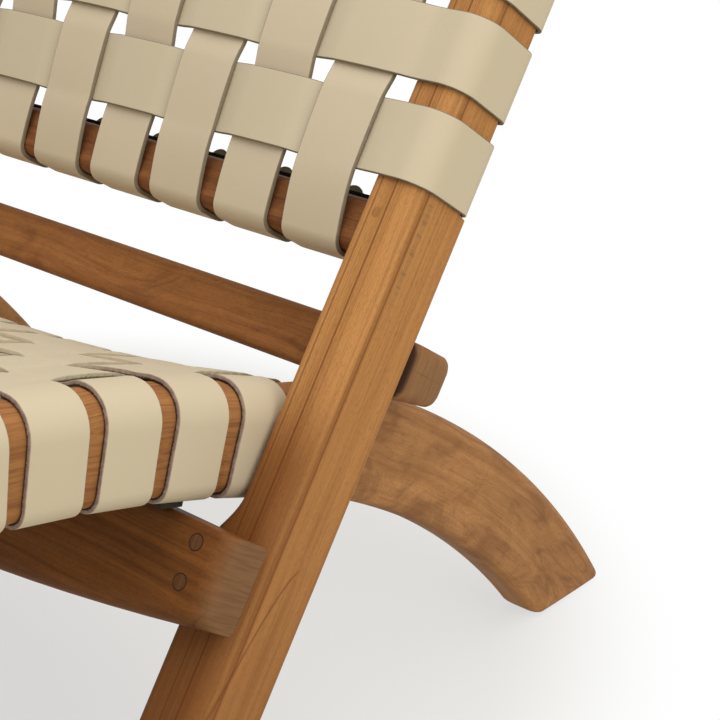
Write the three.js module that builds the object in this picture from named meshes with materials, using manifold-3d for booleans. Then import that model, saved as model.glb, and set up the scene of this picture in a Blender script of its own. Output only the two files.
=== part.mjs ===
// Low lounge chair of two interlocking teak frames, each woven with leather straps.
// Millimetres, Z up. The chair faces -Y and stands on Z = 0, and +X is the sitter's left.
// The back frame leans on straight posts. The seat frame's side rails bend down into the
// rear legs, pass between the posts, over the stretcher and under the rear bar.

import * as THREE from 'three';
import Module from 'manifold-3d';

const wasm = await Module();
wasm.setup();

// Clearances
const FIT = 0.3;                // between pieces that touch
const WRAP_FIT = 0.4;           // between leather and the wood that it wraps
const SLIDE_GAP = 1.2;          // around the seat frame where it slides through the back frame

// Leather straps
const STRAP_T = 3;
const BACK_STRAP_W = 45;
const BACK_STRAP_GAP = 14.4;
const BACK_ROWS = 7;
const SEAT_STRAP_W = 38.5;
const SEAT_STRAP_GAP = 12.9;
const SEAT_ROWS = 8;
const TAIL_INSET = 9;           // from a strap's end to the inner edge of the wood

// Back frame: posts
const INNER_W = 720;            // between the posts
const LEAN = THREE.MathUtils.degToRad(34.5);
const WEAVE_HEIGHT = 387.6;     // lowest row's lower edge above the floor, at the posts' front
const POST_W = 34;              // above the stretcher
const SHOULDER = 9;             // extra width of the posts below the seat frame
const SHOULDER_L = 24;
const POST_D = 52;
const SWELL = 6;                // extra depth of the posts below the weave
const SWELL_L = 10;
const POST_R = 7;
const POST_TOP = 12;            // post above the top rail
const POST_END_R = 8;
const POST_FOOT_R = 3;
const POST_MARGIN = 12;         // between a post and the nearest column

// Back frame: rails that carry the columns
const RAIL_H = 33;
const RAIL_D = 30;
const RAIL_R = 8;
const RAIL_MARGIN = 12;         // between a rail and the nearest row
const BACK_BULGE = 28;          // forward swell of the weave at its middle
const RAIL_SET = 6;             // straps' middle on the rails behind the posts' front
const TENON_L = 24;
const TENON_H = 22;
const TENON_T = 12;

// Back frame: strips that cover the straps' ends
const STRIP_T = 2;
const STRIP_H = 26;
const STRIP_PROUD = 11;         // strip past the rail's inner edge

// Back frame: stretcher that carries the seat, and bar that holds the legs down
const STRETCHER_T = 31;
const STRETCHER_END_H = 53;
const STRETCHER_BELLY = 37;     // extra depth at the middle of the lower edge
const STRETCHER_R = 4;
const STRETCHER_LOW_R = 10;     // lower front edge
const STRETCHER_END_R = 13;
const PIN_D = 10.5;
const PIN_L = 65;
const PIN_INSET = 24;           // pin's centre from the stretcher's end
const PIN_DROP = 11;            // upper pin's centre below the stretcher's top
const PIN_PITCH = 23.5;
const BAR_H = 33;               // at its back
const BAR_D = 42;
const BAR_R = 7;
const BAR_END_R = 7;
const DOWEL_D = 10;
const DOWEL_L = 18;
const DOWEL_PITCH = 15;

// Seat frame: side rails that bend down into the rear legs
const SIDE_W = 32;
const LEG_D = 70.5;
const LEG_EDGE_R = 9;
const LEG_R = 699.2;            // outer edge of the legs
const BEND_ANGLE = THREE.MathUtils.degToRad(69);
const BEND_Y = -63.4;           // outer edge at the bend, from the weave's lower front corner
const BEND_Z = 277.3;           // outer edge at the bend, above the floor
const BEND_L = 80;              // length over which a leg thins towards its seat rail
const SEAT_D = 62;
const SEAT_R = 1041;            // top edge of the seat
const SEAT_EDGE_R = 19;         // upper outer edge of the seat
const FOOT_R = 6;
const NOSE_R = 10;

// Seat frame: cross rails, weave and bearing pads
const REAR_ROW_ANGLE = THREE.MathUtils.degToRad(69.98);
const SEAT_MARGIN = 7;          // between a side rail and the nearest column
const SEAT_SET = 0.3;           // weave's middle below the side rails' top
const SEAT_SAG = 31;            // dip of the weave at the seat's middle
const CROSS_D = 28;
const CROSS_H = 26;
const CROSS_R = 8;
const CROSS_MARGIN = 8;         // between a cross rail and the nearest row
const CROSS_TENON_L = 20;
const CROSS_TENON_H = 18;
const CROSS_TENON_T = 12;
const NOSE_L = 8;               // side rail past the front rail
const PAD_W = 14;
const PAD_T = 9;                // at the stretcher's upper edge
const PAD_AHEAD = 14;           // pad in front of the stretcher's upper edge
const PAD_BEHIND = 3;

// Derived places
const HALF_W = INNER_W / 2 + POST_W;
const WRAP = WRAP_FIT + STRAP_T / 2;
const LAYER = (STRAP_T + FIT) / 2;
const backStep = BACK_STRAP_W + BACK_STRAP_GAP;
const backSpan = backStep * BACK_ROWS - BACK_STRAP_GAP;
const railFront = -RAIL_SET - WRAP;
const railTop = backSpan + RAIL_MARGIN;
const postTop = railTop + RAIL_H + POST_TOP;
const sideOut = INNER_W / 2 - SLIDE_GAP - STRAP_T - WRAP_FIT;
const sideIn = sideOut - SIDE_W;
const bendWay = new THREE.Vector2(Math.cos(BEND_ANGLE), Math.sin(BEND_ANGLE));
const legAxis = new THREE.Vector2(BEND_Y, BEND_Z).addScaledVector(bendWay, -LEG_R);
const seatAxis = legAxis.clone().addScaledVector(bendWay, LEG_R - LEG_D - SEAT_R + SEAT_D);
const seatStep = (SEAT_STRAP_W + SEAT_STRAP_GAP) / SEAT_R;
const rowAngle = (i) => REAR_ROW_ANGLE + i * seatStep;
const crossShift = (SEAT_STRAP_W / 2 + CROSS_MARGIN + CROSS_D / 2) / SEAT_R;
const frontAngle = rowAngle(SEAT_ROWS - 1) + crossShift;
const rearAngle = rowAngle(0) - crossShift;
const noseAngle = frontAngle + (CROSS_D / 2 + STRAP_T + NOSE_L) / SEAT_R;
const crossTop = -SEAT_SET - WRAP;

// Colours
const finish = (color, roughness) => ({ color, roughness });
const TEAK = finish(0xa66b38, 0.5);
const TEAK_DARK = finish(0x8d5830, 0.5);
const END_GRAIN = finish(0x6b4528, 0.6);
const LEATHER = finish(0xc9bea4, 0.75);
const WEBBING = finish(0x23261d, 0.9);

// Point lists in a plane
const range = (n) => Array.from({ length: n }, (_, i) => i);

function arc(x, y, r, from, to, steps) {
  return range(steps + 1).map((i) => {
    const t = from + (to - from) * i / steps;
    return new THREE.Vector2(x + r * Math.cos(t), y + r * Math.sin(t));
  });
}

// Rectangle drawn in by an inset, with its corners rounded; first is the upper right corner
function roundRect(x0, x1, y0, y1, r, inset = 0, first = r, firstSteps = 3, steps = 3) {
  const turn = Math.PI / 2;
  const [l, h, b, t] = [x0 + inset, x1 - inset, y0 + inset, y1 - inset];
  const edge = Math.max(r - inset, r / 5);
  const big = Math.max(first - inset, r / 5);
  return [
    ...arc(h - big, t - big, big, 0, turn, firstSteps),
    ...arc(l + edge, t - edge, edge, turn, 2 * turn, steps),
    ...arc(l + edge, b + edge, edge, 2 * turn, 3 * turn, steps),
    ...arc(h - edge, b + edge, edge, 3 * turn, 4 * turn, steps),
  ];
}

// Steps of a rounded end: how far from the end, and how far the outline is drawn in
function endRound(r, steps) {
  return range(steps + 1).map((i) => {
    const t = Math.PI / 2 * i / steps;
    return { at: r * (1 - Math.cos(t)), inset: r * (1 - Math.sin(t)) };
  });
}

// Closed skin over rings of equal length, turned outwards; each facet is split the short way
function loft(rings) {
  const n = rings[0].length;
  const last = (rings.length - 1) * n;
  const points = rings.flat();
  const index = [];
  for (const k of range(rings.length - 1)) {
    for (const i of range(n)) {
      const a = k * n + i;
      const b = k * n + (i + 1) % n;
      const rise = points[a].distanceTo(points[b + n]);
      const fall = points[b].distanceTo(points[a + n]);
      index.push(...(rise <= fall ? [a, b, b + n, a, b + n, a + n] : [a, b, a + n, b, b + n, a + n]));
    }
  }
  for (const i of range(n - 2)) {
    index.push(0, i + 2, i + 1, last, last + i + 1, last + i + 2);
  }
  let volume = 0;
  for (let i = 0; i < index.length; i += 3) {
    const [a, b, c] = [points[index[i]], points[index[i + 1]], points[index[i + 2]]];
    volume += a.dot(b.clone().cross(c));
  }
  if (volume < 0) index.reverse();
  const geometry = new THREE.BufferGeometry();
  const position = points.flatMap((p) => p.toArray());
  geometry.setAttribute('position', new THREE.Float32BufferAttribute(position, 3));
  geometry.setIndex(index);
  return geometry;
}

// Round piece along an axis: profile pairs of distance and radius
function turned(profile, origin, axis, sides) {
  const w = axis.clone().normalize();
  const u = new THREE.Vector3(1, 0, 0);
  if (Math.abs(w.x) > 0.9) u.set(0, 1, 0);
  u.addScaledVector(w, -u.dot(w)).normalize();
  const v = w.clone().cross(u);
  return loft(profile.map(([at, r]) => range(sides).map((i) => {
    const t = 2 * Math.PI * i / sides;
    return origin.clone().addScaledVector(w, at)
      .addScaledVector(u, r * Math.cos(t)).addScaledVector(v, r * Math.sin(t));
  })));
}

const block = (size, centre) => new THREE.BoxGeometry(...size).translate(...centre);

// Joining and cutting of closed meshes
function toSolid(geometry) {
  const points = [];
  const seen = new Map();
  const source = geometry.attributes.position;
  const index = geometry.index ? [...geometry.index.array] : range(source.count);
  const triangles = index.map((i) => {
    const key = [source.getX(i), source.getY(i), source.getZ(i)].map((c) => c.toFixed(5)).join();
    if (!seen.has(key)) {
      seen.set(key, points.length / 3);
      points.push(source.getX(i), source.getY(i), source.getZ(i));
    }
    return seen.get(key);
  });
  return new wasm.Manifold(new wasm.Mesh({
    numProp: 3,
    vertProperties: new Float32Array(points),
    triVerts: new Uint32Array(triangles),
  }));
}

function shaped(body, { add = [], cut = [] }) {
  let solid = toSolid(body);
  for (const piece of add) solid = solid.add(toSolid(piece));
  for (const piece of cut) solid = solid.subtract(toSolid(piece));
  const mesh = solid.getMesh();
  const geometry = new THREE.BufferGeometry();
  geometry.setAttribute('position', new THREE.Float32BufferAttribute(mesh.vertProperties, 3));
  geometry.setIndex([...mesh.triVerts]);
  return geometry;
}

// Leather strap: a flat strip of constant thickness along a path in a plane
function strap(path, width, place) {
  return loft(path.map((p, i) => {
    const before = p.clone().sub(path[Math.max(i - 1, 0)]);
    const after = path[Math.min(i + 1, path.length - 1)].clone().sub(p);
    const first = (i > 0 ? before : after).normalize();
    const second = (i < path.length - 1 ? after : before).normalize();
    const along = first.clone().add(second).normalize();
    const side = new THREE.Vector2(-along.y, along.x).multiplyScalar(STRAP_T / 2 / along.dot(first));
    return [[1, -1], [1, 1], [-1, 1], [-1, -1]].map(([s, w]) => (
      place(p.x + s * side.x, p.y + s * side.y, w * width / 2)));
  }));
}

// Bend of a path: straight runs that touch a circle between two directions
function bend(x, y, r, from, to, steps) {
  const step = (to - from) / steps;
  const out = r / Math.cos(step / 2);
  return range(steps).map((i) => {
    const t = from + step * (i + 0.5);
    return new THREE.Vector2(x + out * Math.cos(t), y + out * Math.sin(t));
  });
}

// Path that leaves the weave at a start point, climbs onto a rounded bar, goes round its
// far side and ends under it. The bar spans x0 to x1 and y0 to y1 and lies ahead of the start.
function hook(start, x0, x1, y0, y1, r, steps, far = r) {
  const quarter = Math.PI / 2;
  const reach = r + WRAP;
  const corner = new THREE.Vector2(x0 + r, y1 - r);
  const toCorner = corner.clone().sub(start);
  const climb = Math.atan2(toCorner.y, toCorner.x) + Math.asin(reach / toCorner.length());
  const landing = climb > 0
    ? bend(corner.x, corner.y, reach, quarter + climb, quarter, 1)
    : [new THREE.Vector2(corner.x, y1 + WRAP)];
  return [
    start,
    ...landing,
    ...bend(x1 - far, y1 - far, far + WRAP, quarter, 0, steps),
    ...bend(x1 - r, y0 + r, reach, 0, -quarter, 2),
    new THREE.Vector2(x0 + TAIL_INSET, y0 - WRAP),
  ];
}

const flipX = (path) => path.map((p) => new THREE.Vector2(-p.x, p.y)).reverse();

// Straps side by side over a width: centres and the true gap
function columns(width, strapW, gap) {
  const count = Math.max(2, Math.round((width + gap) / (strapW + gap)));
  const trueGap = (width - count * strapW) / (count - 1);
  const at = range(count).map((i) => -width / 2 + strapW / 2 + i * (strapW + trueGap));
  return { at, gap: trueGap };
}

const backColumns = columns(INNER_W - 2 * POST_MARGIN, BACK_STRAP_W, BACK_STRAP_GAP);
const seatColumns = columns(2 * (sideIn - SEAT_MARGIN), SEAT_STRAP_W, SEAT_STRAP_GAP);
const pastEdge = (gap) => gap / 12;

// Groups and naming
const chair = new THREE.Group();
const back = new THREE.Group();
const seat = new THREE.Group();
chair.add(back, seat);
back.rotation.x = -LEAN;
back.position.z = WEAVE_HEIGHT;

function piece(group, name, geometry, look) {
  const mesh = new THREE.Mesh(geometry, new THREE.MeshStandardMaterial(look));
  mesh.name = name;
  group.add(mesh);
}

// Back frame coordinates: across, up along the posts, and forward of the posts' front
const onBack = (x, up, front) => new THREE.Vector3(x, -front, up);
const rearward = new THREE.Vector3(0, 1, 0);
const sides = [['left', 1], ['right', -1]];

// A seat-frame bend centre seen from the back frame, as (up, front)
function seenFromBack(p) {
  const y = p.x;
  const z = p.y - WEAVE_HEIGHT;
  return new THREE.Vector2(
    y * Math.sin(LEAN) + z * Math.cos(LEAN),
    -y * Math.cos(LEAN) + z * Math.sin(LEAN),
  );
}

// Height along the posts at which a point, front of the posts, is a given distance from an axis
function upAtDistance(axis, front, distance) {
  return axis.x + Math.sqrt(distance ** 2 - (front - axis.y) ** 2);
}

const legAxisOnBack = seenFromBack(legAxis);
const postBack = POST_D + SWELL;
const barBack = -postBack - FIT - BAR_D;
const overLeg = (front) => upAtDistance(legAxisOnBack, front, LEG_R + SLIDE_GAP + BAR_R) - BAR_R;
const barLow = overLeg(barBack + BAR_R);
const barTaper = barLow - overLeg(-postBack - FIT - BAR_R);
const stretcherFront = FIT + STRETCHER_T;
const stretcherTop = STRETCHER_R + upAtDistance(
  legAxisOnBack, stretcherFront - STRETCHER_R, LEG_R - LEG_D - PAD_T - STRETCHER_R);

// Drilled holes and what fills them
const barMiddle = barLow + BAR_H / 2;
const dowelAt = [barMiddle - DOWEL_PITCH / 2, barMiddle + DOWEL_PITCH / 2];
const pinAt = [stretcherTop - PIN_DROP, stretcherTop - PIN_DROP - PIN_PITCH];
const pinEnd = stretcherFront - PIN_L;
const railAt = [-RAIL_MARGIN - RAIL_H, railTop];

const rod = (d, x, up, from, to) => turned(
  [[0, d / 2], [from - to, d / 2]], onBack(x, up, from), rearward, 10);
const hole = (d, x, up, from, to) => rod(d + 2 * FIT, x, up, from, to);

// Posts: deeper below the weave, and wider on their inner side below the seat frame
for (const [name, s] of sides) {
  const ring = (inset, wide, swell, up) => (
    roundRect(INNER_W / 2 - wide, HALF_W, -POST_D - swell, 0, POST_R, inset)
      .map((p) => onBack(s * p.x, up(p.y), p.y)));
  const atFloor = (height) => (front) => (
    (height - WEAVE_HEIGHT - front * Math.sin(LEAN)) / Math.cos(LEAN));
  const sweep = range(4).map((i) => i / 3);
  const body = loft([
    ...endRound(POST_FOOT_R, 2).map((e) => ring(e.inset, SHOULDER, SWELL, atFloor(e.at))),
    ...sweep.map((t) => ring(
      0, SHOULDER * (1 - Math.cos((1 - t) * Math.PI / 2)), SWELL, () => stretcherTop + SHOULDER_L * t)),
    ring(0, 0, SWELL, () => -SWELL_L),
    ring(0, 0, 0, () => -FIT),
    ...endRound(POST_END_R, 3).reverse().map((e) => ring(e.inset, 0, 0, () => postTop - e.at)),
  ]);
  const x = (inset) => s * (HALF_W - inset);
  const mortise = (low) => block(
    [2 * (TENON_L + FIT), TENON_T + 2 * FIT, TENON_H + 2 * FIT],
    [s * INNER_W / 2, -railFront + RAIL_D / 2, low + RAIL_H / 2]);
  piece(back, `back_post_${name}`, shaped(body, {
    cut: [
      ...railAt.map(mortise),
      ...pinAt.map((up) => hole(PIN_D, x(PIN_INSET), up, 1, pinEnd - FIT)),
      ...dowelAt.map((up) => hole(DOWEL_D, x(POST_W / 2), up,
        -postBack + DOWEL_L + FIT, -postBack - 1)),
    ],
  }), TEAK);
}

// Rails that carry the back's columns, with tenons into the posts
railAt.forEach((low, k) => {
  const end = INNER_W / 2 - FIT;
  const body = loft([-end, end].map((x) => (
    roundRect(low, low + RAIL_H, railFront - RAIL_D, railFront, RAIL_R)
      .map((p) => onBack(x, p.x, p.y)))));
  const tenon = (s) => block(
    [2 * TENON_L, TENON_T, TENON_H],
    [s * end, -railFront + RAIL_D / 2, low + RAIL_H / 2]);
  piece(back, k ? 'back_top_rail' : 'back_bottom_rail', shaped(body, {
    add: [tenon(1), tenon(-1)],
  }), TEAK_DARK);
});

// Stretcher: straight top edge, bellied lower edge and rounded front corners at its ends
{
  const ring = (x, inset) => {
    const low = stretcherTop - STRETCHER_END_H - STRETCHER_BELLY * (1 - (x / HALF_W) ** 2);
    return roundRect(-stretcherTop, -low, FIT, stretcherFront - inset, STRETCHER_R, 0, STRETCHER_LOW_R)
      .map((p) => onBack(x, -p.x, p.y));
  };
  const ends = endRound(STRETCHER_END_R, 3);
  const inner = HALF_W - STRETCHER_END_R;
  const body = loft([
    ...ends.map((e) => ring(-HALF_W + e.at, e.inset)),
    ...range(7).map((i) => ring(inner * (i - 3) / 4, 0)),
    ...ends.reverse().map((e) => ring(HALF_W - e.at, e.inset)),
  ]);
  const bores = [];
  for (const [name, s] of sides) {
    const x = s * (HALF_W - PIN_INSET);
    pinAt.forEach((up, k) => {
      bores.push(hole(PIN_D, x, up, stretcherFront + 1, -1));
      piece(back, `stretcher_pin_${name}_${k ? 'lower' : 'upper'}`,
        rod(PIN_D, x, up, stretcherFront, pinEnd), END_GRAIN);
    });
  }
  piece(back, 'front_stretcher', shaped(body, { cut: bores }), TEAK_DARK);
}

// Bar behind the posts, its lower face along the legs, with round tenons into the posts
{
  const top = barLow + BAR_H;
  const deepen = (front) => 1 + barTaper / BAR_H * (front - barBack - BAR_R) / (BAR_D - 2 * BAR_R);
  const ring = (x, inset) => (
    roundRect(barLow, top, barBack, barBack + BAR_D, BAR_R, inset)
      .map((p) => onBack(x, top - (top - p.x) * deepen(p.y), p.y)));
  const ends = endRound(BAR_END_R, 3);
  const body = loft([
    ...ends.map((e) => ring(-HALF_W + e.at, e.inset)),
    ...ends.reverse().map((e) => ring(HALF_W - e.at, e.inset)),
  ]);
  const tenons = [1, -1].flatMap((s) => dowelAt.map((up) => rod(
    DOWEL_D, s * (HALF_W - POST_W / 2), up, -postBack + DOWEL_L, barBack + BAR_D / 2)));
  piece(back, 'rear_bar', shaped(body, { add: tenons }), TEAK_DARK);
}

// Back weave: over and under by turns, and swelling forward towards its middle
const backLevel = (over) => WRAP + (over ? LAYER : -LAYER);
const weaveLift = (x, up) => (
  BACK_BULGE * Math.max(0, 1 - (2 * x / INNER_W) ** 2)
  * Math.sin(Math.PI * THREE.MathUtils.clamp(up / backSpan, 0, 1)));
const columnOver = (column, row) => (column + row + backColumns.at.length) % 2 === 0;

for (const row of range(BACK_ROWS)) {
  const edge = BACK_STRAP_W / 2 + pastEdge(backColumns.gap);
  const weave = backColumns.at.flatMap((x, c) => [-edge, edge].map((e) => (
    new THREE.Vector2(x + e, backLevel(!columnOver(c, row + 1))))));
  const post = [INNER_W / 2, HALF_W, -POST_D, 0, POST_R, 2];
  const path = [
    ...flipX(hook(new THREE.Vector2(-weave[0].x, weave[0].y), ...post)),
    ...weave.slice(1, -1),
    ...hook(weave.at(-1), ...post),
  ];
  const middle = row * backStep + BACK_STRAP_W / 2;
  piece(back, `back_row_${row + 1}`, strap(path, BACK_STRAP_W, (x, front, w) => (
    onBack(x, middle + w, front + weaveLift(x, middle + w)))), LEATHER);
}

backColumns.at.forEach((x, c) => {
  const edge = BACK_STRAP_W / 2 + pastEdge(BACK_STRAP_GAP);
  const weave = range(BACK_ROWS).flatMap((row) => [-edge, edge].map((e) => (
    new THREE.Vector2(row * backStep + BACK_STRAP_W / 2 + e, backLevel(columnOver(c, row + 1))))));
  const rail = [railFront - RAIL_D, railFront, RAIL_R, 2];
  const path = [
    ...flipX(hook(new THREE.Vector2(-weave[0].x, weave[0].y), RAIL_MARGIN, RAIL_MARGIN + RAIL_H, ...rail)),
    ...weave.slice(1, -1),
    ...hook(weave.at(-1), railTop, railTop + RAIL_H, ...rail),
  ];
  piece(back, `back_column_${c + 1}`, strap(path, BACK_STRAP_W, (up, front, w) => (
    onBack(x + w, up, front + weaveLift(x + w, up)))), LEATHER);
});

// Strips over the columns' ends, behind the rails
const stripBack = railFront - RAIL_D - WRAP_FIT - STRAP_T - FIT - STRIP_T;
const stripAt = [-RAIL_MARGIN + STRIP_PROUD - STRIP_H, railTop - STRIP_PROUD];
stripAt.forEach((low, k) => {
  piece(back, k ? 'back_top_strip' : 'back_bottom_strip', block(
    [INNER_W - 2 * FIT, STRIP_T, STRIP_H],
    [0, -stripBack - STRIP_T / 2, low + STRIP_H / 2]), WEBBING);
});

// Seat frame coordinates: a point at a height above the seat's top edge
const onArc = (axis, angle, r) => new THREE.Vector2(
  axis.x + r * Math.cos(angle), axis.y + r * Math.sin(angle));
const onSeat = (angle, above, along = 0) => onArc(seatAxis, angle, SEAT_R + above)
  .add(new THREE.Vector2(-Math.sin(angle), Math.cos(angle)).multiplyScalar(along));
const spread = (x, p) => new THREE.Vector3(x, p.x, p.y);

// Dip of the seat's weave across its width
const sag = (x) => -SEAT_SAG * (1 - (x / sideIn) ** 2);

// Side rails: the upper edge is drawn down and rounded off from the legs to the seat
for (const [name, s] of sides) {
  const ring = (inset, slim, place) => {
    const edge = THREE.MathUtils.lerp(LEG_EDGE_R, SEAT_EDGE_R, slim);
    return roundRect(sideIn, sideOut, -LEG_D, -slim * (LEG_D - SEAT_D), LEG_EDGE_R, inset, edge, 4)
      .map((p) => spread(s * p.x, place(p.y + LEG_D)));
  };
  const alongSeat = (angle) => (h) => onSeat(angle, h - SEAT_D);
  const alongLeg = (angle) => (h) => onArc(legAxis, angle(h), LEG_R - LEG_D + h);
  const floorAngle = (h, height) => Math.asin((height - legAxis.y) / (LEG_R - LEG_D + h));
  const slimEnd = BEND_ANGLE - BEND_L / LEG_R;
  const seatSteps = Math.ceil(1.8 * SEAT_ROWS);
  const slimSteps = 3;
  const legSteps = 8;
  const noseEnd = noseAngle - NOSE_R / SEAT_R;
  const between = (from, to, t) => THREE.MathUtils.lerp(from, to, t);
  const body = loft([
    ...endRound(NOSE_R, 3).map((e) => ring(e.inset, 1, alongSeat(noseAngle - e.at / SEAT_R))),
    ...range(seatSteps).map((i) => ring(
      0, 1, alongSeat(between(noseEnd, BEND_ANGLE, (i + 1) / seatSteps)))),
    ...range(slimSteps).map((i) => {
      const t = (i + 1) / slimSteps;
      const slim = 1 - THREE.MathUtils.smoothstep(t, 0, 1);
      return ring(0, slim, alongLeg(() => between(BEND_ANGLE, slimEnd, t)));
    }),
    ...range(legSteps - 1).map((i) => ring(0, 0, alongLeg((h) => (
      between(slimEnd, floorAngle(h, FOOT_R), (i + 1) / legSteps))))),
    ...endRound(FOOT_R, 3).reverse().map((e) => (
      ring(e.inset, 0, alongLeg((h) => floorAngle(h, e.at))))),
  ]);
  const mortise = (angle) => block(
    [2 * (CROSS_TENON_L + FIT), CROSS_TENON_T + 2 * FIT, CROSS_TENON_H + 2 * FIT], [0, 0, 0])
    .rotateX(angle - Math.PI / 2)
    .translate(...spread(s * sideIn, onSeat(angle, crossTop - CROSS_H / 2)).toArray());
  piece(seat, `seat_side_${name}`, shaped(body, {
    cut: [frontAngle, rearAngle].map(mortise),
  }), TEAK);
}

// Cross rails that carry the seat's columns: bowed down, with tenons into the side rails
for (const [name, angle] of [['front', frontAngle], ['rear', rearAngle]]) {
  const end = sideIn - FIT;
  const step = SEAT_STRAP_W + seatColumns.gap;
  const stops = [-end, ...seatColumns.at.slice(1).map((x) => x - step / 2), end];
  const body = loft(stops.map((x) => (
    roundRect(-CROSS_D / 2, CROSS_D / 2, crossTop - CROSS_H, crossTop, CROSS_R, 0, CROSS_R, 2, 2)
      .map((p) => spread(x, onSeat(angle, p.y + sag(x), p.x))))));
  const tenon = (s) => block([2 * CROSS_TENON_L, CROSS_TENON_T, CROSS_TENON_H], [0, 0, 0])
    .rotateX(angle - Math.PI / 2)
    .translate(...spread(s * end, onSeat(angle, crossTop - CROSS_H / 2)).toArray());
  piece(seat, `seat_${name}_rail`, shaped(body, { add: [tenon(1), tenon(-1)] }), TEAK_DARK);
}

// Seat weave: rows wrap the side rails, columns wrap the cross rails and lie with the dip
const seatLevel = (over) => -SEAT_SET + (over ? LAYER : -LAYER);
const rowOver = (column, row) => (column + row + seatColumns.at.length) % 2 === 0;

for (const row of range(SEAT_ROWS)) {
  const edge = SEAT_STRAP_W / 2 + pastEdge(seatColumns.gap);
  const weave = seatColumns.at.flatMap((x, c) => [-edge, edge].map((e) => (
    new THREE.Vector2(x + e, sag(x + e) + seatLevel(rowOver(c, row))))));
  const rail = [sideIn, sideOut, -SEAT_D, 0, LEG_EDGE_R, 3, SEAT_EDGE_R];
  const path = [
    ...flipX(hook(new THREE.Vector2(-weave[0].x, weave[0].y), ...rail)),
    ...weave.slice(1, -1),
    ...hook(weave.at(-1), ...rail),
  ];
  piece(seat, `seat_row_${row + 1}`, strap(path, SEAT_STRAP_W, (x, above, w) => (
    spread(x, onSeat(rowAngle(row), above, w)))), LEATHER);
}

seatColumns.at.forEach((x, c) => {
  const acrossEdge = SEAT_STRAP_W / 2 + pastEdge(seatColumns.gap);
  const dip = (sag(x - acrossEdge) + sag(x + acrossEdge)) / 2;
  const tilt = Math.atan2(sag(x + acrossEdge) - sag(x - acrossEdge), 2 * acrossEdge);
  const edge = SEAT_STRAP_W / 2 + pastEdge(SEAT_STRAP_GAP);
  const weave = range(SEAT_ROWS).flatMap((row) => [-edge, edge].map((e) => (
    onSeat(rowAngle(row), dip + seatLevel(!rowOver(c, row)), e))));
  const round = (angle, sign, from) => {
    const reach = from.clone().sub(seatAxis);
    const along = new THREE.Vector2(-Math.sin(angle), Math.cos(angle));
    const up = new THREE.Vector2(Math.cos(angle), Math.sin(angle));
    const start = new THREE.Vector2(sign * reach.dot(along), reach.dot(up) - SEAT_R);
    const [low, high] = [crossTop - CROSS_H + dip, crossTop + dip];
    return hook(start, -CROSS_D / 2, CROSS_D / 2, low, high, CROSS_R, 2)
      .map((p) => onSeat(angle, p.y, sign * p.x));
  };
  const path = [
    ...round(rearAngle, -1, weave[0]).reverse(),
    ...weave.slice(1, -1),
    ...round(frontAngle, 1, weave.at(-1)),
  ];
  piece(seat, `seat_column_${c + 1}`, strap(path, SEAT_STRAP_W, (y, z, w) => {
    const up = new THREE.Vector2(y, z).sub(seatAxis).normalize();
    const lifted = new THREE.Vector2(y, z).addScaledVector(up, w * Math.sin(tilt));
    return spread(x + w * Math.cos(tilt), lifted);
  }), LEATHER);
});

// Bearing pads under the side rails, where the seat frame lies on the stretcher's upper edge
{
  const up = stretcherTop - STRETCHER_R;
  const front = stretcherFront - STRETCHER_R;
  const edge = new THREE.Vector2(
    up * Math.sin(LEAN) - front * Math.cos(LEAN),
    WEAVE_HEIGHT + up * Math.cos(LEAN) + front * Math.sin(LEAN),
  );
  const fromLeg = edge.clone().sub(legAxis).angle();
  const fromSeat = edge.clone().sub(seatAxis).angle();
  const under = -SEAT_D - WRAP_FIT - STRAP_T - FIT;
  const onEdge = (along) => onArc(legAxis, fromLeg, LEG_R - LEG_D - PAD_T + FIT)
    .add(new THREE.Vector2(-Math.sin(fromLeg), Math.cos(fromLeg)).multiplyScalar(along));
  for (const [name, s] of sides) {
    const rings = [sideOut - LEG_EDGE_R - PAD_W, sideOut - LEG_EDGE_R].map((x) => [
      onEdge(-PAD_BEHIND), onEdge(PAD_AHEAD),
      onSeat(fromSeat, under, PAD_AHEAD), onSeat(fromSeat, under, -PAD_BEHIND),
    ].map((p) => spread(s * x, p)));
    piece(seat, `seat_pad_${name}`, loft(rings), WEBBING);
  }
}

// Origin at the middle of the chair's outline on the floor
chair.updateMatrixWorld(true);
const outline = new THREE.Box3().setFromObject(chair, true);
chair.position.y = -(outline.min.y + outline.max.y) / 2;
chair.updateMatrixWorld(true);

export default chair;
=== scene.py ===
import math

import bpy
import numpy as np
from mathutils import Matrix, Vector


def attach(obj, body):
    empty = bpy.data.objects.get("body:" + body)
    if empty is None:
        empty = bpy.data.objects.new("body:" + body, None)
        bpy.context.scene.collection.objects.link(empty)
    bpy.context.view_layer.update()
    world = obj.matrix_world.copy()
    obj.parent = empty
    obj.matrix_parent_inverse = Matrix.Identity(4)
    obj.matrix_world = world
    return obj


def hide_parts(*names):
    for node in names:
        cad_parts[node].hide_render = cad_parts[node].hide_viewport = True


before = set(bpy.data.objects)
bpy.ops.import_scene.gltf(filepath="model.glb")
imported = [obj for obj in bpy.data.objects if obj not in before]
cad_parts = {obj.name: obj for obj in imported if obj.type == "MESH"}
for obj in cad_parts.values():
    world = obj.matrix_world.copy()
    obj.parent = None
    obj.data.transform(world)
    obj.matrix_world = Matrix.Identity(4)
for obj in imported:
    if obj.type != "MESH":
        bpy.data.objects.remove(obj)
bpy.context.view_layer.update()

# Sizes in millimetres, as in the solids
FIT, WRAP_FIT, SLIDE_GAP = 0.3, 0.4, 1.2
STRAP_T, BACK_STRAP_W, BACK_STRAP_GAP, BACK_ROWS = 3.0, 45.0, 14.4, 7
SEAT_STRAP_W, SEAT_STRAP_GAP, SEAT_ROWS, TAIL_INSET = 38.5, 12.9, 8, 9.0
INNER_W, LEAN, WEAVE_HEIGHT, BACK_BULGE = 720.0, math.radians(34.5), 387.6, 28.0
POST_W, SHOULDER, SHOULDER_L, POST_D, POST_R, SWELL = 34.0, 9.0, 24.0, 52.0, 7.0, 6.0
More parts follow.
